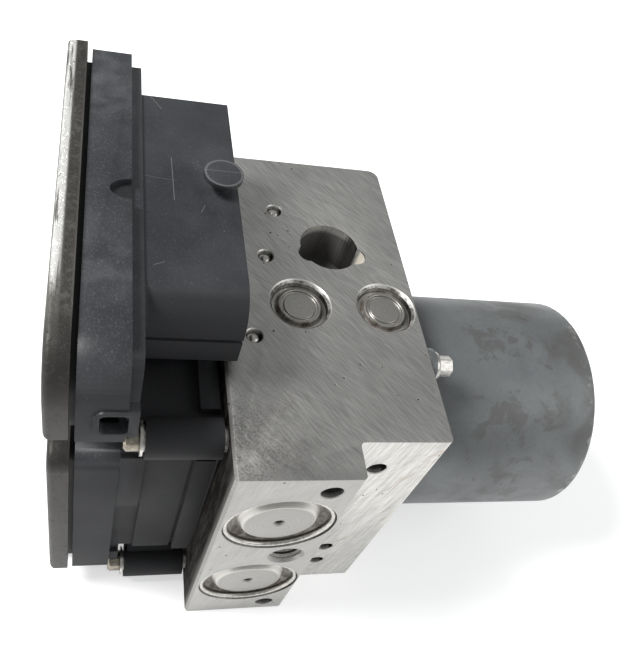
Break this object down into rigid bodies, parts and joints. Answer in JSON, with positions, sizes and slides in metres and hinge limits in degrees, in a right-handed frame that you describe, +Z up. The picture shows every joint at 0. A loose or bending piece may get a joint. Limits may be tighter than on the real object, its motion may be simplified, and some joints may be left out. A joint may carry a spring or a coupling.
{
  "type": "abs brake module",
  "caption": "Anti-lock brake module: machined aluminium valve block with two spring accumulators, a round pump motor and a black plastic controller with connector shroud and metal lid.",
  "frame": {"origin": "centre of the valve block's underside, its machined rear face, on which the module lies", "axes": "+Z up from that face to the face with the front plugs, -X towards the controller, +X towards the motor, -Y towards the accumulators, +Y towards the pipe ports"},
  "size_m": [0.129, 0.0942, 0.0966],
  "materials": {
    "block_aluminium": "brushed and stained",
    "plug_steel": "turned, with rust in its groove",
    "ball_steel": "polished ball",
    "cover_steel": "pressed and dirty",
    "spring_steel": "drawn wire",
    "machined_steel": "ground",
    "piston_aluminium": "machined",
    "seal_rubber": "black rubber",
    "valve_steel": "machined",
    "coil_wrap": "dark moulded winding cover",
    "motor_steel": "matte blue-grey plated steel, stained",
    "magnet_ferrite": "dark ferrite",
    "core_steel": "stacked laminations",
    "winding_copper": "enamelled copper wire",
    "commutator_copper": "copper bars",
    "holder_plastic": "dark moulding",
    "brush_carbon": "carbon",
    "motor_screw_steel": "yellow plated steel",
    "contact_brass": "tinned brass",
    "housing_plastic": "black glass-filled plastic, scuffed",
    "lid_aluminium": "grey-brown cast, worn bright at its front edge",
    "board_green": "lacquered board",
    "bush_steel": "plated",
    "controller_screw_steel": "yellow plated steel"
  },
  "bodies": {
    "module": {"accumulator_cover_top": "cover_steel", "accumulator_cover_under": "cover_steel", "accumulator_spring_top": "spring_steel", "accumulator_spring_under": "spring_steel", "ball_plugs": "ball_steel", "brush_holder": "holder_plastic", "brushes": "brush_carbon", "circuit_board": "board_green", "connector_pins": "contact_brass", "controller_bushes": "bush_steel", "controller_housing": "housing_plastic", "controller_lid": "lid_aluminium", "controller_screws": "controller_screw_steel", "damper_plug_top": "plug_steel", "damper_plug_under": "plug_steel", "front_bearing": "machined_steel", "housing_seal": "seal_rubber", "hydraulic_block": "block_aluminium", "inlet_valve_1": "valve_steel", "inlet_valve_2": "valve_steel", "inlet_valve_3": "valve_steel", "inlet_valve_4": "valve_steel", "motor_can": "motor_steel", "motor_contact": "contact_brass", "motor_end_plate": "motor_steel", "motor_magnets": "magnet_ferrite", "motor_screws": "motor_screw_steel", "outlet_valve_1": "valve_steel", "outlet_valve_2": "valve_steel", "outlet_valve_3": "valve_steel", "outlet_valve_4": "valve_steel", "pump_plug_top": "plug_steel", "pump_plug_under": "plug_steel", "pump_spring_top": "spring_steel", "pump_spring_under": "spring_steel", "rear_bearing": "machined_steel", "snap_rings": "spring_steel", "valve_coils": "coil_wrap", "valve_springs": "spring_steel", "washers": "bush_steel"},
    "rotor": {"rotor_shaft": "machined_steel", "armature_core": "core_steel", "armature_windings": "winding_copper", "commutator": "commutator_copper"},
    "eccentric": {"eccentric_ring": "machined_steel", "needle_rollers": "machined_steel"},
    "pump_top": {"pump_piston_top": "machined_steel"},
    "pump_under": {"pump_piston_under": "machined_steel"},
    "accumulator_top": {"accumulator_piston_top": "piston_aluminium", "accumulator_seal_top": "seal_rubber"},
    "accumulator_under": {"accumulator_piston_under": "piston_aluminium", "accumulator_seal_under": "seal_rubber"},
    "inlet_1": {"inlet_plunger_1": "valve_steel"},
    "outlet_1": {"outlet_plunger_1": "valve_steel"},
    "inlet_2": {"inlet_plunger_2": "valve_steel"},
    "outlet_2": {"outlet_plunger_2": "valve_steel"},
    "inlet_3": {"inlet_plunger_3": "valve_steel"},
    "outlet_3": {"outlet_plunger_3": "valve_steel"},
    "inlet_4": {"inlet_plunger_4": "valve_steel"},
    "outlet_4": {"outlet_plunger_4": "valve_steel"}
  },
  "joints": [
    {"name": "rotor_turn", "type": "hinge", "parent": "module", "child": "rotor", "pos_m": [0, -0.00215, 0.0358], "axis": [1, 0, 0], "continuous": true},
    {"name": "eccentric_ring_turn", "type": "hinge", "parent": "rotor", "child": "eccentric", "pos_m": [0.0152, -0.00305, 0.0358], "axis": [1, 0, 0], "continuous": true},
    {"name": "pump_stroke_top", "type": "slide", "parent": "module", "child": "pump_top", "axis": [0, 0, 1], "range_m": [0, 0.0018], "stiffness_N_per_m": 200, "springref_m": -0.004, "deforming": ["pump_spring_top"]},
    {"name": "pump_stroke_under", "type": "slide", "parent": "module", "child": "pump_under", "axis": [0, 0, -1], "range_m": [0, 0.0018], "stiffness_N_per_m": 200, "springref_m": -0.004, "deforming": ["pump_spring_under"]},
    {"name": "accumulator_stroke_top", "type": "slide", "parent": "module", "child": "accumulator_top", "axis": [0, -1, 0], "range_m": [0, 0.0065], "stiffness_N_per_m": 300, "springref_m": -0.002, "deforming": ["accumulator_spring_top"]},
    {"name": "accumulator_stroke_under", "type": "slide", "parent": "module", "child": "accumulator_under", "axis": [0, -1, 0], "range_m": [0, 0.0065], "stiffness_N_per_m": 300, "springref_m": -0.002, "deforming": ["accumulator_spring_under"]},
    {"name": "inlet_stroke_1", "type": "slide", "parent": "module", "child": "inlet_1", "axis": [1, 0, 0], "range_m": [0, 0.00035], "stiffness_N_per_m": 50, "springref_m": -0.0005},
    {"name": "outlet_stroke_1", "type": "slide", "parent": "module", "child": "outlet_1", "axis": [-1, 0, 0], "range_m": [0, 0.00035], "stiffness_N_per_m": 50, "springref_m": -0.0005},
    {"name": "inlet_stroke_2", "type": "slide", "parent": "module", "child": "inlet_2", "axis": [1, 0, 0], "range_m": [0, 0.00035], "stiffness_N_per_m": 50, "springref_m": -0.0005},
    {"name": "outlet_stroke_2", "type": "slide", "parent": "module", "child": "outlet_2", "axis": [-1, 0, 0], "range_m": [0, 0.00035], "stiffness_N_per_m": 50, "springref_m": -0.0005},
    {"name": "inlet_stroke_3", "type": "slide", "parent": "module", "child": "inlet_3", "axis": [1, 0, 0], "range_m": [0, 0.00035], "stiffness_N_per_m": 50, "springref_m": -0.0005},
    {"name": "outlet_stroke_3", "type": "slide", "parent": "module", "child": "outlet_3", "axis": [-1, 0, 0], "range_m": [0, 0.00035], "stiffness_N_per_m": 50, "springref_m": -0.0005},
    {"name": "inlet_stroke_4", "type": "slide", "parent": "module", "child": "inlet_4", "axis": [1, 0, 0], "range_m": [0, 0.00035], "stiffness_N_per_m": 50, "springref_m": -0.0005},
    {"name": "outlet_stroke_4", "type": "slide", "parent": "module", "child": "outlet_4", "axis": [-1, 0, 0], "range_m": [0, 0.00035], "stiffness_N_per_m": 50, "springref_m": -0.0005}
  ]
}
